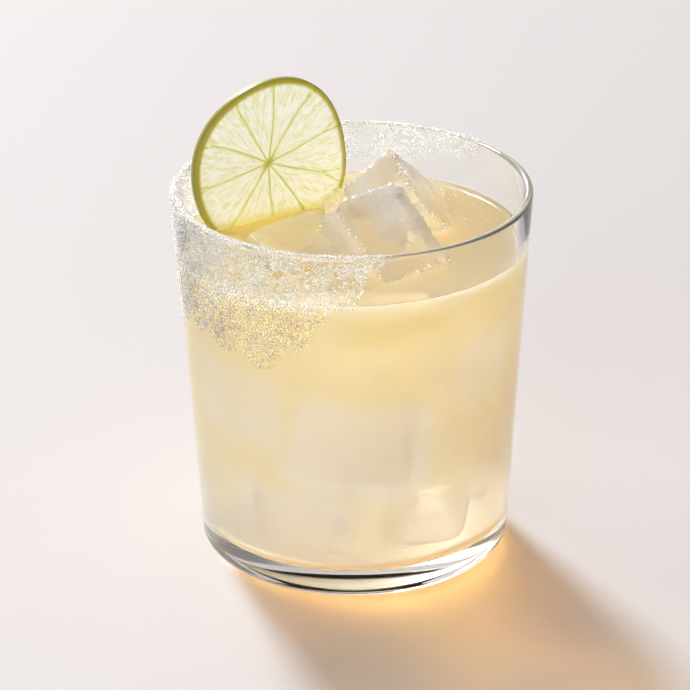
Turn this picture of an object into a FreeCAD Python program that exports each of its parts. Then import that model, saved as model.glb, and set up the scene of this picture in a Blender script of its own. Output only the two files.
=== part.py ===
import FreeCAD, Part
import math
import os
import Sketcher

# A margarita in a tapered tumbler: salted rim, cloudy pale drink, four pieces of ice that
# break the surface and a wheel of lime stood up against the inside of the glass.
# Millimetres, +Z up. The origin is the centre of the foot of the glass. The drinker looks
# along +Y, with the salted half of the rim on the left (-X).

doc = FreeCAD.newDocument("margarita")

# ---------------------------------------------------------------- driving dimensions
SIZES = [
    # the tumbler
    ("glass_height", 93.2, "foot to top of rim"),
    ("rim_radius", 44.0, "outside, at the top of the rim"),
    ("base_radius", 38.3, "outside of the wall produced down to the foot"),
    ("rim_wall", 1.9, "wall thickness at the rim"),
    ("floor_wall", 2.7, "wall thickness where the cavity meets its floor"),
    ("base_thickness", 7.0, "solid glass under the drink"),
    ("foot_rounding", 3.2, "outer corner of the foot"),
    ("floor_rounding", 3.6, "corner of the cavity floor"),
    ("lip_rounding", 0.85, "both corners of the rim"),
    # the drink
    ("headspace", 13.7, "top of the rim down to the surface of the drink"),
    # the wheel of lime
    ("lime_radius", 22.0, "rind to core"),
    ("lime_thickness", 2.6, "thickness of the slice"),
    ("lime_rounding", 0.4, "cut edge of the rind"),
    ("lime_yaw", 30.0, "turn of the wheel about the upright, from +X"),
    ("lime_bearing", 174.15, "where its left end leans on the glass, from +X"),
    ("lime_clearance", 2.84, "rind to the inside of the rim, at that end"),
    ("lime_dip", 8.5, "how far its lowest point is under the drink"),
    # the salt on the rim
    ("salt_thickness", 0.8, "depth of the crust on the glass"),
    ("salt_lip_drop", 2.5, "how far the crust reaches down inside the rim"),
    ("salt_reach", 34.0, "lowest the crust could run below the rim"),
]

# Each piece of ice is a melted block: length, width, depth and edge rounding, how far out
# its centre is and on which bearing from +X, how far its centre is under the surface of the
# drink, and its yaw, pitch and roll. Out is measured from the axis of the glass, or inwards
# from the rim for a piece that leans on the wall.
ICE = {
    "ice_front": (20.4, 25.5, 24.0, 1.6, 9.86, -53.2, 2.0, 34.8, -3.2, 34.8),
    "ice_back": (27.0, 16.0, 22.0, 1.6, 23.28, 45.6, 1.35, 41.3, 42.3, -61.9),
    "ice_left": (24.0, 22.0, 17.0, 4.5, 13.0, -157.4, 4.0, 30.0, -4.0, 4.0),
    "ice_middle": (17.0, 13.0, 14.0, 4.5, 20.0, 88.6, 2.5, 20.0, 8.0, 0.0),
}
ICE_ON_WALL = ("ice_back",)
ICE_FIELDS = ("long", "wide", "deep", "edge", "out", "bearing", "sunk", "yaw", "pitch", "roll")
for ice_name, ice_values in ICE.items():
    for field, value in zip(ICE_FIELDS, ice_values):
        SIZES.append((ice_name + "_" + field, value, ice_name + ", " + field))

# The rim was pressed into a saucer of salt, which left overlapping dabs: the angle round
# the rim from the front towards the left, how far the dab runs down and half its breadth.
SALT_DABS = [
    (-4, 4, 5), (3, 14, 6), (12, 19, 6), (20, 27, 8), (31, 32, 11), (46, 30, 12),
    (61, 28, 12), (77, 31, 12), (95, 27, 13), (114, 22, 13), (133, 17, 13), (152, 14, 13),
    (170, 12, 12), (187, 11, 12), (203, 9, 11), (217, 6, 9),
]

sheet = doc.addObject("Spreadsheet::Sheet", "sizes")
for row, (alias, value, meaning) in enumerate(SIZES, start=1):
    sheet.set("A%d" % row, meaning)
    sheet.set("B%d" % row, str(value))
    sheet.setAlias("B%d" % row, alias)
doc.recompute()


# ---------------------------------------------------------------- helpers
def origin_plane(body, role):
    """The body's own XY, XZ or YZ plane."""
    for feature in body.Origin.OriginFeatures:
        if feature.Role == role:
            return feature


def new_body(name):
    body = doc.addObject("PartDesign::Body", name)
    body.Label = name
    return body


def outline_sketch(body, name, corners):
    """A closed polygon on the XZ plane. Each corner is a pair of sheet expressions, radius
    and height, or None where the corner lies on the axis or on the foot."""
    sketch = body.newObject("Sketcher::SketchObject", name)
    sketch.AttachmentSupport = [(origin_plane(body, "XZ_Plane"), "")]
    sketch.MapMode = "FlatFace"
    start = [FreeCAD.Vector(10 + 10 * (i % 2), 10 + 5 * i, 0) for i in range(len(corners))]
    count = len(corners)
    for i in range(count):
        sketch.addGeometry(Part.LineSegment(start[i], start[(i + 1) % count]), False)
    for i in range(count):
        sketch.addConstraint(Sketcher.Constraint("Coincident", i, 2, (i + 1) % count, 1))
    for i, (radius, height) in enumerate(corners):
        for kind, expression, tag in (("DistanceX", radius, "r"), ("DistanceY", height, "z")):
            if expression is None:
                other = -2 if kind == "DistanceX" else -1
                sketch.addConstraint(Sketcher.Constraint("PointOnObject", i, 1, other))
                continue
            place = sketch.addConstraint(Sketcher.Constraint(kind, -1, 1, i, 1, 1.0 + i))
            sketch.renameConstraint(place, "corner_%d_%s" % (i, tag))
            sketch.setExpression("Constraints.corner_%d_%s" % (i, tag), expression)
    return sketch


def revolve(body, name, corners):
    """The outline turned once round the upright axis."""
    sketch = outline_sketch(body, name + "_outline", corners)
    doc.recompute()
    turned = body.newObject("PartDesign::Revolution", name)
    turned.Profile = sketch
    turned.ReferenceAxis = (sketch, ["V_Axis"])
    turned.Angle = 360.0
    sketch.Visibility = False
    doc.recompute()
    return turned


def ring_edge(shape, radius, height):
    """The name of the circular edge about the axis nearest to a radius and a height."""
    def miss(edge):
        if not isinstance(edge.Curve, Part.Circle):
            return math.inf
        return abs(edge.Curve.Radius - radius) + abs(edge.Curve.Center.z - height)
    nearest = min(range(len(shape.Edges)), key=lambda i: miss(shape.Edges[i]))
    return "Edge%d" % (nearest + 1)


def round_rings(body, name, base, rings, rounding):
    """Rounds ring edges, each given as a pair of numbers: radius and height."""
    fillet = body.newObject("PartDesign::Fillet", name)
    fillet.Base = (base, [ring_edge(base.Shape, r, z) for r, z in rings])
    fillet.setExpression("Radius", rounding)
    doc.recompute()
    return fillet


def place(feature, across, away, up, turn):
    """Ties a feature's placement to the sheet: three expressions for its centre and a
    triple of expressions for its yaw, pitch and roll."""
    where = "create(<<vector>>; %s; %s; %s)" % (across, away, up)
    facing = "create(<<rotation>>; %s; %s; %s)" % turn
    feature.setExpression("Placement", "create(<<placement>>; %s; %s)" % (where, facing))


def cut_round(name, base, tools):
    """The base with every tool taken out of it, so that it meets them face to face."""
    tool = tools[0]
    if len(tools) > 1:
        tool = doc.addObject("Part::MultiFuse", name + "_neighbours")
        tool.Shapes = tools
    cut = doc.addObject("Part::Cut", name)
    cut.Base = base
    cut.Tool = tool
    cut.Label = name
    return cut


# ---------------------------------------------------------------- the tumbler
# Straight tapered wall, thick clear base, rounded foot and a plain rounded rim.
RIM_INSIDE = "sizes.rim_radius - sizes.rim_wall"
FLOOR_RADIUS = ("sizes.base_radius + (sizes.rim_radius - sizes.base_radius)"
                " * sizes.base_thickness / sizes.glass_height - sizes.floor_wall")
glass = new_body("glass")
glass_blank = revolve(glass, "glass_blank", [
    (None, None),
    ("sizes.base_radius", None),
    ("sizes.rim_radius", "sizes.glass_height"),
    (RIM_INSIDE, "sizes.glass_height"),
    (FLOOR_RADIUS, "sizes.base_thickness"),
    (None, "sizes.base_thickness"),
])
height = sheet.glass_height
taper = (sheet.rim_radius - sheet.base_radius) / height
floor_radius = sheet.base_radius + taper * sheet.base_thickness - sheet.floor_wall
foot_round = round_rings(glass, "foot_round", glass_blank, [(sheet.base_radius, 0.0)],
                         "sizes.foot_rounding")
floor_round = round_rings(glass, "floor_round", foot_round,
                          [(floor_radius, sheet.base_thickness)], "sizes.floor_rounding")
lip_round = round_rings(glass, "lip_round", floor_round,
                        [(sheet.rim_radius, height), (sheet.rim_radius - sheet.rim_wall, height)],
                        "min(sizes.lip_rounding; sizes.rim_wall * 0.45)")

DRINK_LEVEL = "(sizes.glass_height - sizes.headspace)"

# ---------------------------------------------------------------- the lime
# A round slice, stood on its edge: its flat faces look to the front right and back left.
# Its left end leans on the glass and its foot is in the drink, so a bigger wheel grows
# away from both.
lime = new_body("lime_wheel")
lime_circle = lime.newObject("Sketcher::SketchObject", "lime_circle")
lime_circle.AttachmentSupport = [(origin_plane(lime, "XY_Plane"), "")]
lime_circle.MapMode = "FlatFace"
lime_circle.addGeometry(Part.Circle(FreeCAD.Vector(0, 0, 0), FreeCAD.Vector(0, 0, 1), 20), False)
lime_circle.addConstraint(Sketcher.Constraint("Coincident", 0, 3, -1, 1))
lime_circle.addConstraint(Sketcher.Constraint("Radius", 0, 20.0))
lime_circle.renameConstraint(1, "rind")
lime_circle.setExpression("Constraints.rind", "sizes.lime_radius")
doc.recompute()
lime_slice = lime.newObject("PartDesign::Pad", "lime_slice")
lime_slice.Profile = lime_circle
lime_slice.Midplane = True
lime_slice.setExpression("Length", "sizes.lime_thickness")
doc.recompute()
lime_edge = lime.newObject("PartDesign::Fillet", "lime_edge")
lime_edge.Base = (lime_slice, [""])
lime_edge.UseAllEdges = True
lime_edge.setExpression("Radius", "sizes.lime_rounding")
LIME_LEAN = "(sizes.rim_radius - sizes.rim_wall - sizes.lime_clearance)"
place(lime,
      LIME_LEAN + " * cos(sizes.lime_bearing) + sizes.lime_radius * cos(sizes.lime_yaw)",
      LIME_LEAN + " * sin(sizes.lime_bearing) + sizes.lime_radius * sin(sizes.lime_yaw)",
      DRINK_LEVEL + " - sizes.lime_dip + sizes.lime_radius",
      ("sizes.lime_yaw", "0", "90"))
doc.recompute()


# ---------------------------------------------------------------- the ice
def ice_block(name, prefix):
    """A block with every edge melted round, centred on its own origin, then set down."""
    body = new_body(name)
    sketch = body.newObject("Sketcher::SketchObject", name + "_plan")
    sketch.AttachmentSupport = [(origin_plane(body, "XY_Plane"), "")]
    sketch.MapMode = "FlatFace"
    signs = ((-1, -1), (1, -1), (1, 1), (-1, 1))
    corners = [FreeCAD.Vector(10 * x, 10 * y, 0) for x, y in signs]
    for i in range(4):
        sketch.addGeometry(Part.LineSegment(corners[i], corners[(i + 1) % 4]), False)
    for i in range(4):
        sketch.addConstraint(Sketcher.Constraint("Coincident", i, 2, (i + 1) % 4, 1))
    for side, kind in ((0, "Horizontal"), (2, "Horizontal"), (1, "Vertical"), (3, "Vertical")):
        sketch.addConstraint(Sketcher.Constraint(kind, side))
    sketch.addConstraint(Sketcher.Constraint("Symmetric", 0, 1, 1, 2, -1, 1))
    for side, kind, field in ((0, "DistanceX", "long"), (1, "DistanceY", "wide")):
        spot = sketch.addConstraint(Sketcher.Constraint(kind, side, 1, side, 2, 20.0))
        sketch.renameConstraint(spot, field)
        sketch.setExpression("Constraints." + field, "sizes.%s_%s" % (prefix, field))
    doc.recompute()
    block = body.newObject("PartDesign::Pad", name + "_block")
    block.Profile = sketch
    block.Midplane = True
    block.setExpression("Length", "sizes.%s_deep" % prefix)
    doc.recompute()
    melted = body.newObject("PartDesign::Fillet", name + "_melted")
    melted.Base = (block, [""])
    melted.UseAllEdges = True
    melted.setExpression("Radius", "sizes.%s_edge" % prefix)
    out = "sizes.%s_out" % prefix
    if prefix in ICE_ON_WALL:
        out = "(sizes.rim_radius - %s)" % out
    bearing = "sizes.%s_bearing" % prefix
    place(body, out + " * cos(%s)" % bearing, out + " * sin(%s)" % bearing,
          DRINK_LEVEL + " - sizes.%s_sunk" % prefix,
          tuple("sizes.%s_%s" % (prefix, field) for field in ("yaw", "pitch", "roll")))
    doc.recompute()
    return body


# The front piece is whole. The others lean on it and on each other, face to face.
ice_front = ice_block("ice_front", "ice_front")
ice_back = cut_round("ice_back", ice_block("ice_back_whole", "ice_back"), [ice_front, lime])
ice_left = cut_round("ice_left", ice_block("ice_left_whole", "ice_left"),
                     [ice_front, ice_back, lime])
ice_middle = cut_round("ice_middle", ice_block("ice_middle_whole", "ice_middle"),
                       [ice_front, ice_back, ice_left, lime])
doc.recompute()

# ---------------------------------------------------------------- the drink
# It fills the cavity to its level, and is cut round the ice and the foot of the lime.
LEVEL_RADIUS = ("(%s) + (%s - (%s)) * (%s - sizes.base_thickness)"
                " / (sizes.glass_height - sizes.base_thickness)"
                % (FLOOR_RADIUS, RIM_INSIDE, FLOOR_RADIUS, DRINK_LEVEL))
drink_whole = new_body("drink_whole")
drink_blank = revolve(drink_whole, "drink_blank", [
    (None, "sizes.base_thickness"),
    (FLOOR_RADIUS, "sizes.base_thickness"),
    (LEVEL_RADIUS, DRINK_LEVEL),
    (None, DRINK_LEVEL),
])
round_rings(drink_whole, "drink_foot", drink_blank, [(floor_radius, sheet.base_thickness)],
            "sizes.floor_rounding")
drink = cut_round("drink", drink_whole, [lime, ice_front, ice_back, ice_left, ice_middle])
doc.recompute()

# ---------------------------------------------------------------- the salt
# A thin coat over the rim and down the outside, kept only where the dabs of salt took.
SALT_FOOT = "sizes.glass_height - sizes.salt_reach"
SALT_FOOT_RADIUS = ("sizes.rim_radius - (sizes.rim_radius - sizes.base_radius)"
                    " * sizes.salt_reach / sizes.glass_height")
coat = new_body("salt_coat")
revolve(coat, "salt_coat_blank", [
    (SALT_FOOT_RADIUS + " - sizes.rim_wall / 2", SALT_FOOT),
    (SALT_FOOT_RADIUS + " + sizes.salt_thickness", SALT_FOOT),
    ("sizes.rim_radius + sizes.salt_thickness", "sizes.glass_height + sizes.salt_thickness"),
    (RIM_INSIDE + " - sizes.salt_thickness", "sizes.glass_height + sizes.salt_thickness"),
    (RIM_INSIDE + " - sizes.salt_thickness", "sizes.glass_height - sizes.salt_lip_drop"),
    ("sizes.rim_radius - sizes.rim_wall / 2", "sizes.glass_height - sizes.salt_lip_drop"),
])
dabs = []
for number, (angle, run, half_breadth) in enumerate(SALT_DABS):
    dab = doc.addObject("Part::Ellipsoid", "salt_dab_%02d" % number)
    dab.Radius1 = run
    dab.Radius2 = half_breadth
    dab.Radius3 = half_breadth
    dab.Angle1 = -90.0
    dab.Angle2 = 90.0
    dab.Angle3 = 360.0
    turn = math.radians(angle)
    dab.setExpression("Placement.Base.x", "-sizes.rim_radius * %.5f" % math.sin(turn))
    dab.setExpression("Placement.Base.y", "-sizes.rim_radius * %.5f" % math.cos(turn))
    dab.setExpression("Placement.Base.z", "sizes.glass_height")
    dabs.append(dab)
salted_zone = doc.addObject("Part::MultiFuse", "salted_zone")
salted_zone.Shapes = dabs
salted_coat = doc.addObject("Part::MultiCommon", "salted_coat")
salted_coat.Shapes = [coat, salted_zone]
salt_crust = cut_round("salt_crust", salted_coat, [glass, lime])
doc.recompute()

# ---------------------------------------------------------------- check and write
for item in doc.Objects:
    if "Invalid" in item.State or "Error" in item.State:
        raise RuntimeError("%s did not compute: %s" % (item.Name, item.State))

NODES = [glass, drink, ice_front, ice_back, ice_left, ice_middle, lime, salt_crust]
os.makedirs("parts", exist_ok=True)
for node in NODES:
    shape = node.Shape
    if shape.isNull() or not shape.isValid() or not shape.Solids:
        raise RuntimeError("%s has no sound solid" % node.Label)
    shape.exportStep("parts/%s.step" % node.Label)
    box = shape.BoundBox
    print("%-11s solids %d  volume %7.0f mm3  x %.1f..%.1f  y %.1f..%.1f  z %.1f..%.1f"
          % (node.Label, len(shape.Solids), shape.Volume, box.XMin, box.XMax,
             box.YMin, box.YMax, box.ZMin, box.ZMax))
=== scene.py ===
import math
import random

import bpy
import numpy as np
from mathutils import Euler, Matrix, Vector, noise
from mathutils.bvhtree import BVHTree


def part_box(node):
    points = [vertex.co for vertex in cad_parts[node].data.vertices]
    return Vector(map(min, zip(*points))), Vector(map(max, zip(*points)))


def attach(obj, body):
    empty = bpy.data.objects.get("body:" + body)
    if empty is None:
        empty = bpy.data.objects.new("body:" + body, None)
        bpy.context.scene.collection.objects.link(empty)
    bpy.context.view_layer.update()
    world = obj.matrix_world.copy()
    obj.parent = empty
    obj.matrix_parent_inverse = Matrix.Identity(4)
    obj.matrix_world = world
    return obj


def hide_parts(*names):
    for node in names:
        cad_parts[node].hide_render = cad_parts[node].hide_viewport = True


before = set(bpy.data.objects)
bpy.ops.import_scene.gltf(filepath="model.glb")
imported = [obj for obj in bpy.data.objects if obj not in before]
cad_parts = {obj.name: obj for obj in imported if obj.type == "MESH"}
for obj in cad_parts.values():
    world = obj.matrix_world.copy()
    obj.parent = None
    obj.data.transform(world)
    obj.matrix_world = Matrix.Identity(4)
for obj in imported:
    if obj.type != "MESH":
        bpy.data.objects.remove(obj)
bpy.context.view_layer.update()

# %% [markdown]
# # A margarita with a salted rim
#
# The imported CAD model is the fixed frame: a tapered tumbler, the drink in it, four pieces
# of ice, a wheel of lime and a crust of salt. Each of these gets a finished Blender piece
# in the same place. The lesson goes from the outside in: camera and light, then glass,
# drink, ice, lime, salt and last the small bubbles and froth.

MM = 0.001
glass_low, glass_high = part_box("glass")
drink_low, drink_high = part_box("drink")
GLASS_HEIGHT = glass_high[2]
DRINK_LEVEL = drink_high[2]
DRINK_FLOOR = drink_low[2]
RIM_RADIUS = 44.0 * MM
BASE_RADIUS = 38.3 * MM
RIM_WALL = 1.9 * MM
FLOOR_WALL = 2.7 * MM
random.seed(7)
print("glass", round(GLASS_HEIGHT / MM, 1), "mm tall, drink up to", round(DRINK_LEVEL / MM, 1))

# %% [markdown]
# ## Camera
#
# A drink like this is usually shot with a long lens from a seated eye's height, so that
# the rim is an open oval and the sides stay nearly straight. The camera is given a place
# and a point to look at, and is then tipped a little, as hand-held cameras are.

# %% The camera
camera_data = bpy.data.cameras.new("camera")
camera = bpy.data.objects.new("camera", camera_data)
bpy.context.scene.collection.objects.link(camera)
bpy.context.scene.camera = camera
EYE_DISTANCE = 0.870
EYE_HEIGHT = math.radians(25.3)
TIP = math.radians(-0.51)
middle = Vector((0.0, 0.0, 0.045))
camera.location = middle + EYE_DISTANCE * Vector((0, -math.cos(EYE_HEIGHT), math.sin(EYE_HEIGHT)))
aim = Vector((-0.0021, 0.0023, 0.0498))
turn = (aim - camera.location).to_track_quat("-Z", "Y").to_matrix() @ Matrix.Rotation(TIP, 3, "Z")
camera.rotation_euler = turn.to_euler()
camera_data.lens = 182.6
camera_data.clip_end = 20.0
print("camera at", [round(v, 3) for v in camera.location])

# %% [markdown]
# ## Node helper and colours
#
# Blender mixes light in linear colour, while paint charts and hex codes are sRGB, so one
# function turns a hex code to linear. A second one adds a node with its settings and
# links, which keeps each material short enough to read.

# %% Colour and node helpers
def colour(code):
    """An sRGB hex code as a linear RGBA colour."""
    parts = [int(code[i:i + 2], 16) / 255 for i in (1, 3, 5)]
    linear = [p / 12.92 if p <= 0.04045 else ((p + 0.055) / 1.055) ** 2.4 for p in parts]
    return (*linear, 1.0)


def material(name):
    """A new material with one Principled shader, and its node tree."""
    made = bpy.data.materials.new(name)
    made.use_nodes = True
    shader = made.node_tree.nodes["Principled BSDF"]
    return made, made.node_tree, shader


def add(tree, kind, settings=None, links=None):
    """A node of that kind. Settings are its own properties, or sockets by name or number.
    Links are from an output socket to the named or numbered input."""
    node = tree.nodes.new(kind)
    for key, value in (settings or {}).items():
        if isinstance(key, str) and hasattr(node, key):
            setattr(node, key, value)
        else:
            node.inputs[key].default_value = value
    for key, source in (links or {}).items():
        tree.links.new(source, node.inputs[key])
    return node


# %% [markdown]
# ## Floor and light
#
# A pale matt table by a window. Light from behind is what makes a cloudy drink glow, so the
# key is low sun from behind on the left. The rest of the room stays dim, because strong
# light from all round would wash out the amber shadow. A low lamp in front then lifts the
# side that faces the camera.

# %% The floor
def nothing_selected():
    if bpy.context.object and bpy.context.object.mode != "OBJECT":
        bpy.ops.object.mode_set(mode="OBJECT")
    bpy.ops.object.select_all(action="DESELECT")


nothing_selected()
bpy.ops.mesh.primitive_plane_add(size=6.0, location=(0, 0, 0))
floor = bpy.context.object
floor.name = "floor"
# Matt paint spreads light evenly, so the table shows only the shadow and its amber glow.
floor_paint, tree, shader = material("matt_table_paint")
shader.inputs["Base Color"].default_value = colour("#CAC5C5")
shader.inputs["Roughness"].default_value = 0.7
floor.data.materials.append(floor_paint)

# %% The light
scene = bpy.context.scene
scene.view_settings.view_transform = "Standard"

# The room is brightest towards the window and dims towards the ceiling.
world = bpy.data.worlds.new("studio")
scene.world = world
world.use_nodes = True
sky = world.node_tree
sky.nodes["Background"].inputs["Color"].default_value = colour("#FBF8F6")
look = add(sky, "ShaderNodeTexCoord")
to_window = add(sky, "ShaderNodeVectorMath", {"operation": "DOT_PRODUCT", 1: (-0.58, 0.74, 0.34)},
                {0: look.outputs["Generated"]})
window_glow = add(sky, "ShaderNodeMapRange",
                  {"From Min": 0.55, "From Max": 0.97, "To Min": 0.0, "To Max": 1.3},
                  {"Value": to_window.outputs["Value"]})
height = add(sky, "ShaderNodeSeparateXYZ", None, {0: look.outputs["Generated"]})
wall_glow = add(sky, "ShaderNodeMapRange",
                {"From Min": 0.1, "From Max": 0.6, "To Min": 0.30, "To Max": 0.19},
                {"Value": height.outputs["Z"]})
both = add(sky, "ShaderNodeMath", {"operation": "ADD"},
           {0: window_glow.outputs["Result"], 1: wall_glow.outputs["Result"]})
sky.links.new(both.outputs["Value"], sky.nodes["Background"].inputs["Strength"])


def lamp(name, place, size, power, tint):
    """A square soft lamp that faces the drink."""
    data = bpy.data.lights.new(name, "AREA")
    data.size = size
    data.energy = power
    data.color = colour(tint)[:3]
    made = bpy.data.objects.new(name, data)
    scene.collection.objects.link(made)
    made.location = place
    made.rotation_euler = (middle - Vector(place)).to_track_quat("-Z", "Y").to_euler()
    return made


# The fill lights the front. The pane is small and low behind, and the rim draws it out into
# a bright line.
fill = lamp("fill_front_low", (-0.75, -1.45, 0.45), 1.0, 12.5, "#FFFFFF")
pane = lamp("pane_low_behind_left", (-0.50, 1.50, 0.55), 0.5, 6.0, "#FFFFFF")

# Sunlight through a window covers a table evenly, so the key is a sun of some width.
sun_data = bpy.data.lights.new("key_behind_left", "SUN")
sun_data.energy = 3.1
sun_data.angle = math.radians(9)
sun_data.color = colour("#FFFFFF")[:3]
key = bpy.data.objects.new("key_behind_left", sun_data)
scene.collection.objects.link(key)
key.rotation_euler = (-Vector((-0.40, 0.95, 0.93))).to_track_quat("-Z", "Y").to_euler()

# %% [markdown]
# ## The tumbler
#
# The real glass is pressed or blown into a mould: a straight tapered wall, a thick clear
# base with a rounded foot, and a rim melted round with a flame. A lathe-like piece is
# easiest to grow ring by ring: a filled circle is extruded, moved up and resized again
# and again along the outline. That keeps clean rings of faces, which bend light evenly.

# %% Growing a round piece ring by ring
def arc(centre, radius, start, end, steps):
    """Points (radius, height) along a rounded corner, from one angle to another."""
    return [(centre[0] + radius * math.cos(math.radians(start + (end - start) * i / steps)),
             centre[1] + radius * math.sin(math.radians(start + (end - start) * i / steps)))
            for i in range(steps + 1)]


def grow(name, outline, segments):
    """Starts from a filled circle and extrudes it along the outline."""
    nothing_selected()
    radius, height = outline[0]
    bpy.ops.mesh.primitive_circle_add(vertices=segments, radius=radius, fill_type="NGON",
                                      location=(0, 0, height))
    piece = bpy.context.object
    piece.name = name
    bpy.ops.object.transform_apply(location=True, rotation=True, scale=True)
    bpy.ops.object.mode_set(mode="EDIT")
    bpy.ops.mesh.select_all(action="SELECT")
    for next_radius, next_height in outline[1:]:
        bpy.ops.mesh.extrude_region_move(
            TRANSFORM_OT_translate={"value": (0, 0, next_height - height)})
        bpy.ops.transform.resize(value=(next_radius / radius, next_radius / radius, 1),
                                 center_override=(0, 0, next_height))
        radius, height = next_radius, next_height
    bpy.ops.mesh.select_all(action="SELECT")
    bpy.ops.mesh.remove_doubles(threshold=0.000001)
    bpy.ops.mesh.normals_make_consistent(inside=False)
    bpy.ops.object.mode_set(mode="OBJECT")
    bpy.ops.object.shade_smooth()
    print(name, "has", len(piece.data.polygons), "faces")
    return piece


# %% The tumbler's outline
def outer_radius(height):
    return BASE_RADIUS + (RIM_RADIUS - BASE_RADIUS) * height / GLASS_HEIGHT


FLOOR_RADIUS = outer_radius(DRINK_FLOOR) - FLOOR_WALL


def inner_radius(height):
    share = (height - DRINK_FLOOR) / (GLASS_HEIGHT - DRINK_FLOOR)
    return FLOOR_RADIUS + (RIM_RADIUS - RIM_WALL - FLOOR_RADIUS) * share


FOOT_ROUND, FLOOR_ROUND, LIP_ROUND = 3.2 * MM, 3.6 * MM, 0.85 * MM
PUSH_UP = 1.6 * MM
foot = [(28 * MM * math.sin(math.radians(t)), PUSH_UP * math.cos(math.radians(t)) ** 1.5)
        for t in (5, 20, 40, 60, 75, 85)] + [(30.5 * MM, 0.02 * MM)]
foot += arc((outer_radius(FOOT_ROUND) - FOOT_ROUND, FOOT_ROUND), FOOT_ROUND, -90, -3.5, 10)
lip_height = GLASS_HEIGHT - LIP_ROUND
lip = (arc((outer_radius(lip_height) - LIP_ROUND, lip_height), LIP_ROUND, -3.5, 90, 8)
       + arc((inner_radius(lip_height) + LIP_ROUND, lip_height), LIP_ROUND, 90, 184, 8))
corner_height = DRINK_FLOOR + FLOOR_ROUND
corner = arc((inner_radius(corner_height) - FLOOR_ROUND, corner_height), FLOOR_ROUND, -4, -90, 10)
wall_steps = [(outer_radius(h), h) for h in (20 * MM, 40 * MM, 60 * MM, 80 * MM)]
inside_steps = [(inner_radius(h), h) for h in (80 * MM, 60 * MM, 40 * MM, 25 * MM)]
tumbler = grow("tumbler", foot + wall_steps + lip + inside_steps + corner, 192)
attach(tumbler, "root")
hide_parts("glass")

# %% [markdown]
# Light from a lamp is bent by real glass and still reaches what is behind it. A renderer
# finds such light only by luck, so each clear material here lets lamp rays straight
# through, tinted by what they cross: that lights the drink through its glass and gives the
# table its amber shadow.

# %% Letting lamp light through
def let_lamps_through(tree, shader, tint):
    """Lamp rays pass straight through this material, tinted."""
    rays = add(tree, "ShaderNodeLightPath")
    open_way = add(tree, "ShaderNodeBsdfTransparent", {"Color": colour(tint)})
    either = add(tree, "ShaderNodeMixShader", None,
                 {0: rays.outputs["Is Shadow Ray"], 1: shader.outputs["BSDF"],
                  2: open_way.outputs["BSDF"]})
    tree.links.new(either.outputs["Shader"], tree.nodes["Material Output"].inputs["Surface"])


# %% Clear glass
# Soda-lime glass, fire-polished: smooth enough that only sharp reflections show.
clear_glass, tree, shader = material("soda_lime_glass")
let_lamps_through(tree, shader, "#F1F2EF")
shader.inputs["Base Color"].default_value = colour("#FDFEFC")
shader.inputs["Transmission Weight"].default_value = 1.0
shader.inputs["Roughness"].default_value = 0.0
shader.inputs["IOR"].default_value = 1.5
tumbler.data.materials.append(clear_glass)

# %% The lip
# A flame-polished lip gathers light from all along the wall, so it looks pale, not dark. A
# share of it that scatters light gives that without hundreds of reflections.
pale_lip, tree, shader = material("flame_polished_lip")
let_lamps_through(tree, shader, "#F1F2EF")
shader.inputs["Base Color"].default_value = colour("#FBF8EC")
shader.inputs["Transmission Weight"].default_value = 0.72
shader.inputs["Roughness"].default_value = 0.03
shader.inputs["IOR"].default_value = 1.5
tumbler.data.materials.append(pale_lip)
for face in tumbler.data.polygons:
    if face.center.z > lip_height:
        face.material_index = 1

# %% [markdown]
# ## The drink
#
# Lime juice makes the drink cloudy: light goes in, is scattered and comes out pale
# yellow, and ice shows only as soft pale patches near the wall. The piece reaches a
# little into the glass wall, because a gap there would show as a silver skin of air. Its
# surface climbs the wall in a thin curved edge.

# %% The body of the drink
INTO_WALL = 0.35 * MM
drink_corner = [(r + INTO_WALL * 0.6, h - INTO_WALL) for r, h in reversed(corner)]
drink_side = [(inner_radius(h) + INTO_WALL, h) for h in np.arange(11.5 * MM, 79.0 * MM, 1.5 * MM)]
edge_top = DRINK_LEVEL + 0.9 * MM
edge_radius = inner_radius(edge_top)
climb = [(edge_radius + INTO_WALL, edge_top),
         (edge_radius - 0.05 * MM, edge_top - 0.1 * MM),
         (edge_radius - 0.3 * MM, edge_top - 0.45 * MM),
         (edge_radius - 0.8 * MM, edge_top - 0.7 * MM),
         (edge_radius - 1.6 * MM, edge_top - 0.83 * MM),
         (edge_radius - 3.0 * MM, DRINK_LEVEL)]
drink = grow("drink_body", drink_corner + drink_side + climb, 160)
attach(drink, "root")
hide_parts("drink")

# Fine pulp scatters light a long way inside: soft and pale, with no sharp shadow in it.
cloudy, tree, shader = material("cloudy_lime_drink")
let_lamps_through(tree, shader, "#D8AF5B")
# Painted paler where sunk ice lies close behind the wall, and painted light low down.
ice_patch_and_painted_low_light = add(tree, "ShaderNodeAttribute", {"attribute_name": "ice_patch_and_painted_low_light"})
paler = add(tree, "ShaderNodeMix", {"data_type": "RGBA", 6: colour("#FDEACA"), 7: colour("#FFFDF7")},
            {"Factor": ice_patch_and_painted_low_light.outputs["Fac"]})
tree.links.new(paler.outputs[2], shader.inputs["Base Color"])
shader.inputs["Subsurface Weight"].default_value = 1.0
shader.inputs["Subsurface Radius"].default_value = (1.0, 0.85, 0.5)
shader.inputs["Subsurface Scale"].default_value = 30 * MM
shader.inputs["Subsurface Anisotropy"].default_value = 0.5
shader.inputs["Transmission Weight"].default_value = 0.6
shader.inputs["Roughness"].default_value = 0.35
shader.inputs["IOR"].default_value = 1.34
drink.data.materials.append(cloudy)

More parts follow.
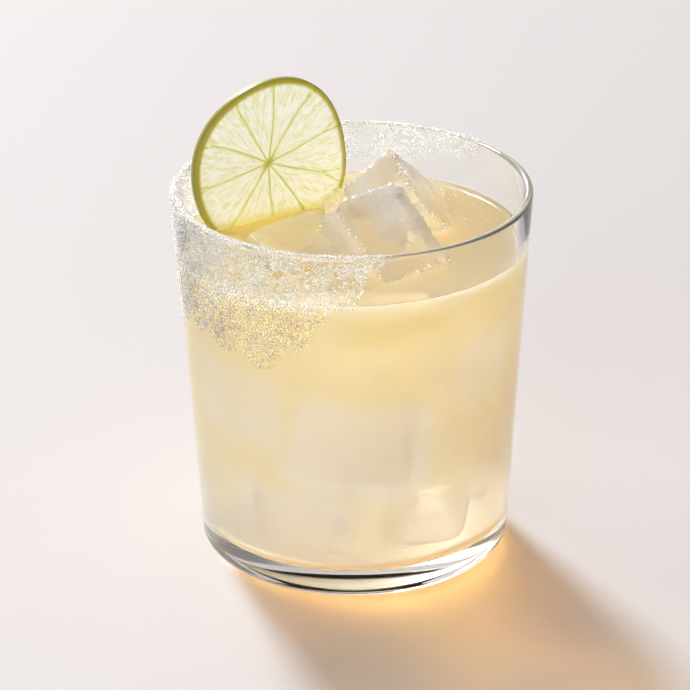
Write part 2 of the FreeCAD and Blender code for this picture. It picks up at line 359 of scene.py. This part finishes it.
# %% Its clear underside
# In the base of a real glass, flat light is mirrored from the underside of the drink, so
# the base looks clear. A clear underside keeps that, while the side stays cloudy.
underside, tree, shader = material("clear_drink_underside")
let_lamps_through(tree, shader, "#CDA04A")
shader.inputs["Base Color"].default_value = colour("#FFFFFF")
shader.inputs["Transmission Weight"].default_value = 1.0
shader.inputs["Roughness"].default_value = 0.0
shader.inputs["IOR"].default_value = 1.34
drink.data.materials.append(underside)
for face in drink.data.polygons:
    if face.normal.z < -0.9:
        face.material_index = 1

# %% Its still surface
# Looked down into, the drink is deeper than through its side, and so looks more amber: the top is
# painted a deeper amber than the side, as painted shade.
surface, tree, shader = material("still_drink_surface")
let_lamps_through(tree, shader, "#F3E2B6")
shader.inputs["Base Color"].default_value = colour("#F4DFAE")
shader.inputs["Subsurface Weight"].default_value = 1.0
shader.inputs["Subsurface Radius"].default_value = (1.0, 0.85, 0.5)
shader.inputs["Subsurface Scale"].default_value = 30 * MM
shader.inputs["Transmission Weight"].default_value = 0.75
shader.inputs["Roughness"].default_value = 0.12
shader.inputs["IOR"].default_value = 1.34
drink.data.materials.append(surface)
for face in drink.data.polygons:
    if face.normal.z > 0.25 and face.center.z > DRINK_LEVEL - 0.2 * MM:
        face.material_index = 2

# %% [markdown]
# ## The ice
#
# Bar ice starts as sharp cubes and melts in the glass: corners round off, faces dish and
# some corners break away. So each piece starts as a cube of its real size, is turned to
# its place, has its edges bevelled, loses a corner or two to a bisect, and is then
# remeshed finely and pushed about by soft noise.

# %% One melted block
def put_down(piece, turn, centre):
    """Turns and moves a piece's own mesh, so that its object stays at the origin."""
    piece.data.transform(Matrix.Translation(centre) @ turn.to_4x4())


def displace(piece, name, size, strength, group=""):
    """Soft noise that pushes a surface in and out, everywhere or only in one group."""
    clouds = bpy.data.textures.new(name, "CLOUDS")
    clouds.noise_scale = size
    clouds.noise_depth = 1
    push = piece.modifiers.new(name, "DISPLACE")
    push.texture = clouds
    push.texture_coords = "LOCAL"
    push.strength = strength
    push.mid_level = 0.5
    push.vertex_group = group
    bpy.ops.object.modifier_apply(modifier=push.name)


def melted_block(name, size, edge, centre, yaw, pitch, roll, chips, grain,
                 swell=1.0 * MM, ripple=0.25 * MM, drips=0.3 * MM):
    """A block of ice. Chips are planes, each a direction from the centre of the block in its
    own axes and how far out it cuts. Swell, ripple and drips are the heights of three noises,
    the last along the edges only, where ice melts first."""
    nothing_selected()
    bpy.ops.mesh.primitive_cube_add(size=1.0, location=(0, 0, 0))
    piece = bpy.context.object
    piece.name = name
    piece.scale = size
    bpy.ops.object.transform_apply(location=True, rotation=True, scale=True)
    bpy.ops.object.mode_set(mode="EDIT")
    bpy.ops.mesh.select_all(action="SELECT")
    bpy.ops.mesh.bevel(offset=edge, segments=3, profile=0.5, affect="EDGES")
    for direction, reach in chips:
        away = Vector(direction).normalized()
        bpy.ops.mesh.select_all(action="SELECT")
        bpy.ops.mesh.bisect(plane_co=away * reach, plane_no=away, use_fill=True, clear_outer=True)
    bpy.ops.mesh.select_all(action="SELECT")
    bpy.ops.mesh.normals_make_consistent(inside=False)
    bpy.ops.object.mode_set(mode="OBJECT")
    turn = Euler((math.radians(roll), math.radians(pitch), math.radians(yaw)), "XYZ")
    put_down(piece, turn.to_matrix(), centre)
    fine = piece.modifiers.new("fine", "REMESH")
    fine.mode = "VOXEL"
    fine.voxel_size = grain
    bpy.ops.object.modifier_apply(modifier=fine.name)
    ridges = piece.vertex_groups.new(name="ridges")
    back = turn.to_matrix().transposed()
    for vertex in piece.data.vertices:
        own = back @ (vertex.co - centre)
        beside = sorted(abs(own[i]) / (size[i] / 2) for i in range(3))[1]
        ridges.add([vertex.index], min(1.0, max(0.0, (beside - 0.80) / 0.16)), "REPLACE")
    displace(piece, name + "_swell", 8 * MM, swell)
    displace(piece, name + "_ripple", 1.4 * MM, ripple)
    displace(piece, name + "_drips", 1.1 * MM, drips, "ridges")
    bpy.ops.object.shade_smooth()
    print(name, "has", len(piece.data.polygons), "faces")
    return piece


def from_axis(out, bearing, sunk):
    """A place that far from the axis of the glass, on that bearing, that far under the level."""
    angle = math.radians(bearing)
    return Vector((out * math.cos(angle), out * math.sin(angle), DRINK_LEVEL - sunk))


# %% The four pieces that break the surface
ice = [
    melted_block("ice_front_cube", (20.4 * MM, 25.5 * MM, 24 * MM), 0.9 * MM,
                 from_axis(9.86 * MM, -53.2, 2.0 * MM), 34.8, -3.2, 34.8,
                 [((1, 1, 1), 18.5 * MM), ((-1, 1, 0.8), 18.2 * MM)],
                 0.33 * MM, 0.6 * MM, 0.24 * MM, 0.8 * MM),
    melted_block("ice_back_cube", (27 * MM, 16 * MM, 22 * MM), 0.9 * MM,
                 from_axis(RIM_RADIUS - 23.28 * MM, 45.6, 1.35 * MM), 41.3, 42.3, -61.9,
                 [((-1, -1, 1), 18.6 * MM)], 0.33 * MM, 0.6 * MM, 0.22 * MM, 1.1 * MM),
    melted_block("ice_left_dome", (24 * MM, 22 * MM, 17 * MM), 4.5 * MM,
                 from_axis(13.0 * MM, -157.4, 4.0 * MM), 30.0, -4.0, 4.0, [],
                 0.4 * MM, 1.0 * MM, 0.3 * MM, 1.0 * MM),
    melted_block("ice_middle_lump", (17 * MM, 13 * MM, 14 * MM), 4.5 * MM,
                 from_axis(20.0 * MM, 88.6, 2.5 * MM), 20.0, 8.0, 0.0, [],
                 0.45 * MM, 0.8 * MM, 0.2 * MM, 0.6 * MM),
]
for piece, node in zip(ice, ("ice_front", "ice_back", "ice_left", "ice_middle")):
    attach(piece, "root")
    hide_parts(node)

# Bar ice is clear outside and cloudy with trapped air inside, under a film of water: part
# of the light passes, part is scattered, and the wet surface stays sharp.
wet_ice, tree, shader = material("wet_cloudy_ice")
let_lamps_through(tree, shader, "#F8F6F2")
shader.inputs["Base Color"].default_value = colour("#FFFDFA")
shader.inputs["Subsurface Weight"].default_value = 1.0
shader.inputs["Subsurface Radius"].default_value = (1.0, 0.98, 0.95)
shader.inputs["Subsurface Scale"].default_value = 8 * MM
shader.inputs["Transmission Weight"].default_value = 0.70
shader.inputs["Roughness"].default_value = 0.02
shader.inputs["IOR"].default_value = 1.31
for piece in ice:
    piece.data.materials.append(wet_ice)

# %% [markdown]
# Ice pushes the drink aside. Without a hollow for it, the surface of the drink would show
# as a shelf inside every clear block. The hollow is cut a hair smaller than the block, so
# that ice and drink overlap and no air shows between them.

# %% Cutting the drink round the ice
OVERLAP = 0.2 * MM
nothing_selected()
for piece in ice:
    copy = bpy.data.objects.new("hollow", piece.data.copy())
    scene.collection.objects.link(copy)
    copy.select_set(True)
    bpy.context.view_layer.objects.active = copy
bpy.ops.object.join()
hollow = bpy.context.object
close_up = hollow.modifiers.new("close_up", "REMESH")
close_up.mode = "VOXEL"
close_up.voxel_size = 0.5 * MM
bpy.ops.object.modifier_apply(modifier=close_up.name)
shrink = hollow.modifiers.new("shrink", "DISPLACE")
shrink.strength = -OVERLAP
shrink.mid_level = 0.0
bpy.ops.object.modifier_apply(modifier=shrink.name)
hollow.data.materials.clear()
hollow.data.materials.append(cloudy)
nothing_selected()
drink.select_set(True)
bpy.context.view_layer.objects.active = drink
cut = drink.modifiers.new("cut", "BOOLEAN")
cut.operation = "DIFFERENCE"
cut.solver = "MANIFOLD"
cut.object = hollow
bpy.ops.object.modifier_apply(modifier=cut.name)
bpy.data.objects.remove(hollow)
bpy.ops.object.shade_smooth_by_angle(angle=math.radians(40))
print("drink has", len(drink.data.polygons), "faces after the cut")

# %% [markdown]
# ## Ice in the cloud
#
# More ice lies under the surface, close behind the wall. Cloudy drink hides its outline, so
# each block is nearly as clear as the drink round it. What the eye gets is a paler patch,
# where there is less drink between the ice and the glass. So the blocks are real pieces,
# and the drink then measures its distance to them and is painted paler there.

# %% The ice under the surface
def behind_wall(bearing, height, depth):
    """A place that deep behind the inner wall, on a bearing from the front to the right."""
    radius = inner_radius(height) - depth
    angle = math.radians(bearing)
    return Vector((radius * math.sin(angle), -radius * math.cos(angle), height))


sunk_ice = [
    melted_block("ice_sunk_centre", (25 * MM, 18 * MM, 20 * MM), 2.0 * MM,
                 behind_wall(2, 41.5 * MM, 10.8 * MM), 3.0, 8.0, 6.0, [], 0.7 * MM),
    melted_block("ice_sunk_right", (12 * MM, 9 * MM, 12 * MM), 2.0 * MM,
                 behind_wall(50, 58 * MM, 6.8 * MM), 45.0, 6.0, 12.0, [], 0.5 * MM),
    melted_block("ice_sunk_left", (22 * MM, 16 * MM, 16 * MM), 2.5 * MM,
                 behind_wall(-24, 19 * MM, 9.8 * MM), -20.0, -6.0, 8.0, [], 0.7 * MM),
    melted_block("ice_sunk_low", (20 * MM, 14 * MM, 14 * MM), 4.5 * MM,
                 behind_wall(34, 17.5 * MM, 9.2 * MM), 30.0, 8.0, -6.0, [], 0.7 * MM),
    melted_block("ice_sunk_high", (22 * MM, 12 * MM, 13 * MM), 2.5 * MM,
                 behind_wall(16, 61 * MM, 12.5 * MM), 12.0, 4.0, 5.0, [], 0.7 * MM),
    melted_block("ice_sunk_side", (20 * MM, 14 * MM, 14 * MM), 2.5 * MM,
                 behind_wall(-45, 50 * MM, 10.0 * MM), -45.0, 5.0, 0.0, [], 0.7 * MM),
]
# Ice and drink bend light almost alike, so a sunk block has next to no edge.
pale_ice, tree, shader = material("sunk_pale_ice")
let_lamps_through(tree, shader, "#F6F2E8")
shader.inputs["Base Color"].default_value = colour("#FFFFFF")
shader.inputs["Subsurface Weight"].default_value = 1.0
shader.inputs["Subsurface Radius"].default_value = (1.0, 0.95, 0.9)
shader.inputs["Subsurface Scale"].default_value = 40 * MM
shader.inputs["Transmission Weight"].default_value = 0.8
shader.inputs["Roughness"].default_value = 0.25
shader.inputs["IOR"].default_value = 1.025
for piece in sunk_ice:
    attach(piece, "root")
    piece.data.materials.append(pale_ice)

# %% Paler drink where ice lies close behind the wall, with painted light low down
# Low down the drink is painted paler too, as painted light: the thick base gathers light under it.
trees = [BVHTree.FromObject(piece, bpy.context.evaluated_depsgraph_get()) for piece in sunk_ice]
ice_patch_and_low_light_values = []
for spot in drink.data.vertices:
    gap = min(tree.find_nearest(spot.co)[3] for tree in trees)
    # Painted light: the drink is painted paler low down, where the base gathers light under it.
    low = math.exp(-(spot.co.z - DRINK_FLOOR) / (14 * MM))
    ice_patch_and_low_light_values.append(max(math.exp(-(gap / (5.0 * MM)) ** 2), 0.9 * low))
store = drink.data.attributes.new("ice_patch_and_painted_low_light", "FLOAT", "POINT")
store.data.foreach_set("value", ice_patch_and_low_light_values)
print("ice shows through", round(100 * sum(n > 0.5 for n in ice_patch_and_low_light_values) / len(ice_patch_and_low_light_values)), "% of the drink")

# %% [markdown]
# ## The wheel of lime
#
# A thin slice across the fruit: green rind, a ring of pith, and ten wedges of flesh
# between pale skins that meet at the core. Held up to the light it glows. It starts as a
# filled circle, is inset ring by ring so that the flesh has points to carry its pattern,
# and is then given its thickness.

# %% The slice
LIME_RADIUS, LIME_THICK = 22.0 * MM, 2.6 * MM
LIME_YAW = math.radians(30.0)
lean = RIM_RADIUS - RIM_WALL - 2.84 * MM
lime_centre = Vector((
    lean * math.cos(math.radians(174.15)) + LIME_RADIUS * math.cos(LIME_YAW),
    lean * math.sin(math.radians(174.15)) + LIME_RADIUS * math.sin(LIME_YAW),
    DRINK_LEVEL - 8.5 * MM + LIME_RADIUS))
half = LIME_THICK / 2
rings = 62
face_rings = [LIME_RADIUS * (0.985 - 0.975 * i / rings) for i in range(rings + 1)]
slice_outline = ([(r, -half) for r in reversed(face_rings)]
                 + [(LIME_RADIUS, -half * 0.7), (LIME_RADIUS, 0.0), (LIME_RADIUS, half * 0.7)]
                 + [(r, half) for r in face_rings])
lime = grow("lime_slice", slice_outline, 240)
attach(lime, "root")
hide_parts("lime_wheel")

# %% Its outline, segments and skins
SKINS = [118, 81, 57, 16, -21, -53, -88, -124, -168, 150]
CORE = np.array((-1.35 * MM, 1.25 * MM))
count = len(lime.data.vertices)
spots = np.empty(count * 3)
lime.data.vertices.foreach_get("co", spots)
spots = spots.reshape(-1, 3)
angle = np.arctan2(spots[:, 1], spots[:, 0])
shape = np.ones(count)
# A cut fruit is never quite round: four slow waves round the edge give it its own outline.
WAVES = [(1, 0.0125, 3.14), (2, 0.0237, -2.93), (3, 0.0117, -2.64), (4, 0.0156, -2.19)]
for turns, depth, phase in WAVES:
    shape += depth * np.cos(turns * angle - phase)
spots[:, :2] *= shape[:, None]
away = spots[:, :2] - CORE
reach = np.hypot(away[:, 0], away[:, 1])
bearing = np.degrees(np.arctan2(away[:, 1], away[:, 0]))
to_skin = np.full(count, 1.0)
for i, skin in enumerate(SKINS):
    bend = 6.0 * math.sin(i * 2.3) * (reach / LIME_RADIUS) ** 2
    fork = (3.0 + 2.5 * math.sin(i * 5.1)) * np.clip(reach / LIME_RADIUS - 0.72, 0, 1) / 0.3
    for side in (-1, 1):
        off = np.radians((bearing - skin - bend - side * fork + 180) % 360 - 180)
        across = np.where(np.abs(off) < 1.5, np.abs(np.sin(off)) * reach, 1.0)
        to_skin = np.minimum(to_skin, across)
edge_gap = LIME_RADIUS * shape - np.hypot(spots[:, 0], spots[:, 1])
skin = 0.85 * np.exp(-(to_skin / (0.24 * MM)) ** 2)
along = away[:, 0] * math.cos(math.radians(45)) + away[:, 1] * math.sin(math.radians(45))
beside = away[:, 1] * math.cos(math.radians(45)) - away[:, 0] * math.sin(math.radians(45))
core = np.exp(-((along / (2.4 * MM)) ** 2 + (beside / (0.8 * MM)) ** 2))
pith = 1 / (1 + np.exp((edge_gap - 1.35 * MM) / (0.16 * MM)))
rind = 1 / (1 + np.exp((edge_gap - 0.28 * MM) / (0.06 * MM)))
# Painted shade: the slice is painted darker below a line just above the drink, where it sits in the
# drink and in the rim's shade.
depth = (DRINK_LEVEL - lime_centre.z + 1.5 * MM) - spots[:, 1]
painted_shade_below_drink = 1 / (1 + np.exp(-depth / (0.5 * MM)))
parts = {"painted_shade_below_drink": 0.75 * painted_shade_below_drink, "skin": skin, "core": core, "pith": pith, "rind": rind}
for name, values in parts.items():
    store = lime.data.attributes.new(name, "FLOAT", "POINT")
    store.data.foreach_set("value", values)
turn = np.radians(bearing)
fibre = np.stack((np.cos(turn) * 12, np.sin(turn) * 12, reach / (4.5 * MM)), axis=1)
store = lime.data.attributes.new("fibre", "FLOAT_VECTOR", "POINT")
store.data.foreach_set("vector", fibre.ravel())
sacs = np.array([noise.noise(Vector(f)) for f in fibre])
flesh = (1 - np.maximum(np.maximum(skin, core), pith)) * (np.abs(spots[:, 2]) > half * 0.9)
spots[:, 2] -= np.sign(spots[:, 2]) * flesh * (0.10 + 0.12 * sacs) * MM
lime.data.vertices.foreach_set("co", spots.ravel())
stand = Matrix.Rotation(LIME_YAW, 3, "Z") @ Matrix.Rotation(math.radians(90), 3, "X")
put_down(lime, stand, lime_centre)
print("slice centre", [round(v / MM, 1) for v in lime_centre])

# %% Flesh, skin, pith and rind
# Juice sacs are pale and let light deep into the slice; skins, pith and rind are greener. Below a
# line just above the drink the slice is painted darker, as painted shade.
lime_flesh, tree, shader = material("wet_lime_flesh")
let_lamps_through(tree, shader, "#D8D7A8")
fibres = add(tree, "ShaderNodeAttribute", {"attribute_name": "fibre"})
sacs = add(tree, "ShaderNodeTexNoise",
           {"Scale": 1.6, "Detail": 4.0, "Roughness": 0.65, "Distortion": 0.6},
           {"Vector": fibres.outputs["Vector"]})
flesh_colour = add(tree, "ShaderNodeValToRGB", None, {"Fac": sacs.outputs["Fac"]})
flesh_colour.color_ramp.elements[0].position = 0.36
flesh_colour.color_ramp.elements[0].color = colour("#E2E3BA")
flesh_colour.color_ramp.elements[1].position = 0.56
flesh_colour.color_ramp.elements[1].color = colour("#F3F5EC")
painted = flesh_colour.outputs["Color"]
PAINT = {"painted_shade_below_drink": "#E6E2A2", "skin": "#C9CA55", "pith": "#B2A934", "core": "#C3BF42", "rind": "#85813E"}
for part, code in PAINT.items():
    where = add(tree, "ShaderNodeAttribute", {"attribute_name": part})
    layer = add(tree, "ShaderNodeMix", {"data_type": "RGBA", 7: colour(code)},
                {"Factor": where.outputs["Fac"], 6: painted})
    painted = layer.outputs[2]
tree.links.new(painted, shader.inputs["Base Color"])
shader.inputs["Subsurface Weight"].default_value = 1.0
shader.inputs["Subsurface Radius"].default_value = (1.0, 1.0, 1.0)
shader.inputs["Subsurface Scale"].default_value = 5 * MM
shader.inputs["Roughness"].default_value = 0.35
shader.inputs["IOR"].default_value = 1.34
lime.data.materials.append(lime_flesh)

# %% [markdown]
# ## The salt
#
# Coarse bar salt is broken cubes about half a millimetre across. The wet rim was pressed
# into a saucer, so the grains are packed at the rim, run down further where the drinker
# pressed hardest, and thin out at the lower edge. One grain is modelled, and thousands of
# turned and resized copies are joined into one mesh.

# %% Where the salt took
SALT_DABS = [
    (-4, 4, 5), (3, 14, 6), (12, 19, 6), (20, 27, 8), (31, 32, 11), (46, 30, 12),
    (61, 28, 12), (77, 31, 12), (95, 27, 13), (114, 22, 13), (133, 17, 13), (152, 14, 13),
    (170, 12, 12), (187, 11, 12), (203, 9, 11), (217, 6, 9),
]


def salt_run(bearing):
    """How far the salt runs down at a bearing from the front towards the left, in mm."""
    deepest = 0.0
    for centre, run, breadth in SALT_DABS:
        off = ((bearing - centre + 180) % 360 - 180) * math.pi / 180 * 44.0 / breadth
        if abs(off) < 1:
            deepest = max(deepest, run * math.sqrt(1 - off * off))
    return deepest


# %% One grain, and where its copies go
# Each try picks a place on the rim and keeps it by chance: nearly always at the lip, less
# often lower down, and in loose clumps a millimetre or so across.
nothing_selected()
bpy.ops.mesh.primitive_cone_add(vertices=4, radius1=0.72, radius2=0.0, depth=0.9, location=(0, 0, 0))
grain = bpy.context.object
bpy.ops.object.mode_set(mode="EDIT")
bpy.ops.mesh.select_all(action="SELECT")
bpy.ops.mesh.quads_convert_to_tris()
bpy.ops.object.mode_set(mode="OBJECT")
grain_spots = np.array([v.co[:] for v in grain.data.vertices])
grain_faces = np.array([p.vertices[:] for p in grain.data.polygons])
bpy.data.objects.remove(grain)

dice = random.Random(11)
grain_places = []
tries = 0
while len(grain_places) < 29000 and tries < 400000:
    tries += 1
    bearing = dice.uniform(-12, 228)
    run = salt_run(bearing)
    drop = dice.uniform(-0.4, 34.0)
    if drop > run:
        continue
    angle = math.radians(-90 - bearing)
    height = GLASS_HEIGHT - drop * MM
    size = dice.uniform(0.22, 0.46) * MM
    low = min(1.0, max(0.0, drop / 24.0))
    clump = noise.noise(Vector((math.cos(angle) * 48, math.sin(angle) * 48, drop / 0.95)))
    clump += 0.5 * noise.noise(Vector((math.cos(angle) * 9, math.sin(angle) * 9, drop / 5.0)))
    chance = 0.50 + 0.9 * clump - 0.12 * low - (0.15 if bearing > 95 else 0.0)
    if drop < 1.0:
        chance = 1.2
    if dice.random() > chance or dice.random() > 0.3 + (run - drop) / 2.5:
        continue
    if drop < 0.8:
        across = dice.uniform(-RIM_WALL - 0.3 * MM, 0.25 * MM)
        radius = RIM_RADIUS + across
        height = GLASS_HEIGHT + 0.15 * MM - max(0.0, abs(across + RIM_WALL / 2) - 0.6 * MM) * 0.8
    else:
        radius = outer_radius(height) + size * dice.uniform(0.2, 0.7)
    grain_places.append((radius * math.cos(angle), radius * math.sin(angle), height, size))
print(len(grain_places), "grains of salt after", tries, "tries")


def scatter(name, places, shape_spots, shape_faces, seed, stretch):
    """Joins a turned, resized copy of one shape at every place into a single mesh."""
    rolls = random.Random(seed)
    all_spots, all_faces = [], []
    for x, y, z, size in places:
        turn = Euler([rolls.uniform(0, 6.28) for _ in range(3)]).to_matrix()
        scale = [size * rolls.uniform(1 - stretch, 1 + stretch) for _ in range(3)]
        turned = (shape_spots * scale) @ np.array(turn).T + (x, y, z)
        all_faces.append(shape_faces + len(all_spots) * len(shape_spots))
        all_spots.append(turned)
    mesh = bpy.data.meshes.new(name)
    mesh.from_pydata(np.concatenate(all_spots).tolist(), [], np.concatenate(all_faces).tolist())
    mesh.update()
    piece = bpy.data.objects.new(name, mesh)
    scene.collection.objects.link(piece)
    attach(piece, "root")
    print(name, "has", len(mesh.polygons), "faces")
    return piece


salt = scatter("salt_grains", grain_places, grain_spots, grain_faces, 5, 0.25)
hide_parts("salt_crust")
# A crystal of salt is clear, so it shows what lies behind it, while flat faces turned every
# way catch the light as sparks.
salt_crystal, tree, shader = material("coarse_salt_crystal")
let_lamps_through(tree, shader, "#FDFCFB")
shader.inputs["Base Color"].default_value = colour("#FFFFFF")
shader.inputs["Subsurface Weight"].default_value = 1.0
shader.inputs["Subsurface Radius"].default_value = (1.0, 1.0, 1.0)
shader.inputs["Subsurface Scale"].default_value = 1.5 * MM
shader.inputs["Transmission Weight"].default_value = 0.84
shader.inputs["Roughness"].default_value = 0.12
shader.inputs["IOR"].default_value = 1.08
shader.inputs["Coat Weight"].default_value = 1.0
shader.inputs["Coat Roughness"].default_value = 0.03
salt.data.materials.append(salt_crystal)

# %% [markdown]
# ## Bubbles and froth
#
# Pouring leaves a few bubbles at the surface, held against the ice and the glass, and
# melting ice carries tiny beads of water and froth along its wet edges. The froth is also
# made white enough to be painted highlights, sparks along the ridges. Each is a small
# sphere, and few faces are enough at this size.

# %% A few bubbles
nothing_selected()
bpy.ops.mesh.primitive_ico_sphere_add(subdivisions=2, radius=0.5, location=(0, 0, 0))
bubble = bpy.context.object
bubble_spots = np.array([v.co[:] for v in bubble.data.vertices])
bubble_faces = np.array([p.vertices[:] for p in bubble.data.polygons])
bpy.data.objects.remove(bubble)

bubble_places = []
for out, bearing, spread, number in ((35.0, 43, 2.2, 9), (31.5, 31, 2.6, 10), (31.0, 20, 2.4, 8),
                                     (13.0, 169, 1.6, 5), (24.0, 15, 2.0, 5), (38.5, 53, 1.4, 5)):
    for _ in range(number):
        place = from_axis((out + dice.gauss(0, spread)) * MM, bearing + dice.gauss(0, 3), 0)
        if place.xy.length < inner_radius(DRINK_LEVEL) - 0.8 * MM:
            bubble_places.append((*place, dice.uniform(0.5, 1.5) * MM))

bubbles = scatter("surface_bubbles", bubble_places, bubble_spots, bubble_faces, 3, 0.2)
# A film of water is clear all through and shows only by its bright outline.
bubble_film, tree, shader = material("bubble_film")
let_lamps_through(tree, shader, "#FBFAF6")
shader.inputs["Base Color"].default_value = colour("#FFFFFF")
shader.inputs["Transmission Weight"].default_value = 1.0
shader.inputs["Roughness"].default_value = 0.0
shader.inputs["IOR"].default_value = 1.33
bubbles.data.materials.append(bubble_film)
bubbles.data.polygons.foreach_set("use_smooth", [True] * len(bubbles.data.polygons))

# %% Froth along the wet edges of the ice, white as painted highlights
nothing_selected()
bpy.ops.mesh.primitive_ico_sphere_add(subdivisions=1, radius=0.5, location=(0, 0, 0))
bead = bpy.context.object
bead_spots = np.array([v.co[:] for v in bead.data.vertices])
bead_faces = np.array([p.vertices[:] for p in bead.data.polygons])
bpy.data.objects.remove(bead)

# A run of up to six beads starts at a point on a sharp edge and thins out from there.
froth_glint_places = []
for piece, number in zip(ice, (90, 170, 80, 25)):
    ridges = piece.vertex_groups["ridges"].index
    above = [(sum(g.weight for g in v.groups if g.group == ridges), v.co)
             for v in piece.data.vertices if v.co.z > DRINK_LEVEL + 0.5 * MM]
    sharpest = max(weight for weight, _ in above)
    trees_above = BVHTree.FromObject(piece, bpy.context.evaluated_depsgraph_get())
    wet_edges = [spot for weight, spot in above if weight >= 0.75 * sharpest]
    for _ in range(number):
        start = dice.choice(wet_edges)
        for step in range(dice.randint(1, 6)):
            place = start + Vector([dice.gauss(0, 0.35 * MM * step ** 0.5) for _ in range(3)])
            spot = trees_above.find_nearest(place)[0]
            froth_glint_places.append((*spot, dice.uniform(0.12, 0.5) / (1 + 0.3 * step) * MM))
froth_and_glints = scatter("ice_froth_and_painted_glints", froth_glint_places, bead_spots, bead_faces, 9, 0.3)
# Froth is whiter than a single bubble, because many films scatter the light. Its white also
# stands in for highlights: painted glints along the ridges.
froth_glint_material, tree, shader = material("froth_painted_as_glints")
let_lamps_through(tree, shader, "#FBFAF6")
shader.inputs["Base Color"].default_value = colour("#FFFFFF")
shader.inputs["Transmission Weight"].default_value = 0.3
shader.inputs["Roughness"].default_value = 0.1
shader.inputs["IOR"].default_value = 1.33
shader.inputs["Coat Weight"].default_value = 1.0
froth_and_glints.data.materials.append(froth_glint_material)
froth_and_glints.data.polygons.foreach_set("use_smooth", [True] * len(froth_and_glints.data.polygons))
